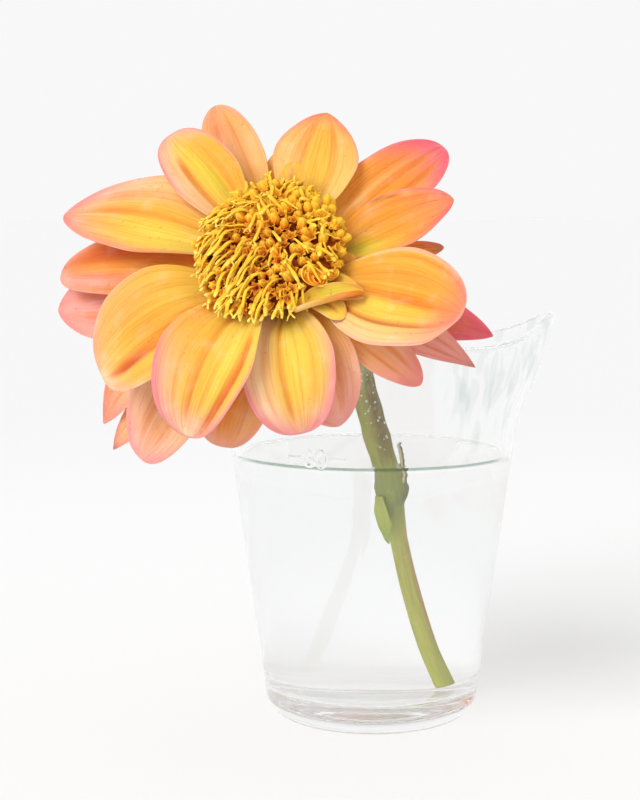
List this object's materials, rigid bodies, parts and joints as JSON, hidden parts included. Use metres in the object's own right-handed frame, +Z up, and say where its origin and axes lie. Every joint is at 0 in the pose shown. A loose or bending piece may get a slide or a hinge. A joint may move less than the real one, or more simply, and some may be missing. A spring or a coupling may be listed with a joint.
{
  "type": "dahlia flower in a small pouring glass",
  "caption": "Open semi-double dahlia bloom, yellow to coral, its cut stem standing in a small clear pouring glass of water and leaning on the rim.",
  "frame": {"origin": "middle of the glass's underside", "axes": "+Z up, +X towards the pouring lip, the bloom leans over the rim on the -Y side"},
  "size_m": [0.1008, 0.0991, 0.1286],
  "materials": {
    "glass": "clear, faintly grey-green",
    "water": "clear water",
    "stem": "green, yellower at the foot and browner above the water",
    "leaf": "soft green",
    "receptacle": "green",
    "disc": "golden florets with red-brown gaps",
    "front_petal": "yellow base, orange grooves, peach and pink margins, fine veins",
    "middle_petal": "orange base, coral and pink towards the tip",
    "back_petal": "coral and rose",
    "petaloid": "yellow with orange edges",
    "inner_bract": "pale yellow-green, thin",
    "outer_bract": "green"
  },
  "bodies": {
    "root": {"glass_jug": "glass", "water": "water", "flower_stem": "stem", "stem_leaf": "leaf", "receptacle": "receptacle", "disc_florets": "disc", "front_petal_1": "front_petal", "front_petal_2": "front_petal", "front_petal_3": "front_petal", "front_petal_4": "front_petal", "front_petal_5": "front_petal", "front_petal_6": "front_petal", "front_petal_7": "front_petal", "front_petal_8": "front_petal", "middle_petal_1": "middle_petal", "middle_petal_2": "middle_petal", "middle_petal_3": "middle_petal", "middle_petal_4": "middle_petal", "middle_petal_5": "middle_petal", "middle_petal_6": "middle_petal", "back_petal_1": "back_petal", "back_petal_2": "back_petal", "back_petal_3": "back_petal", "back_petal_4": "back_petal", "back_petal_5": "back_petal", "back_petal_6": "back_petal", "back_petal_7": "back_petal", "inner_petaloid_1": "petaloid", "inner_petaloid_2": "petaloid", "inner_bract_1": "inner_bract", "inner_bract_2": "inner_bract", "inner_bract_3": "inner_bract", "inner_bract_4": "inner_bract", "inner_bract_5": "inner_bract", "inner_bract_6": "inner_bract", "inner_bract_7": "inner_bract", "inner_bract_8": "inner_bract", "outer_bract_1": "outer_bract", "outer_bract_2": "outer_bract", "outer_bract_3": "outer_bract", "outer_bract_4": "outer_bract", "outer_bract_5": "outer_bract"}
  },
  "joints": []
}
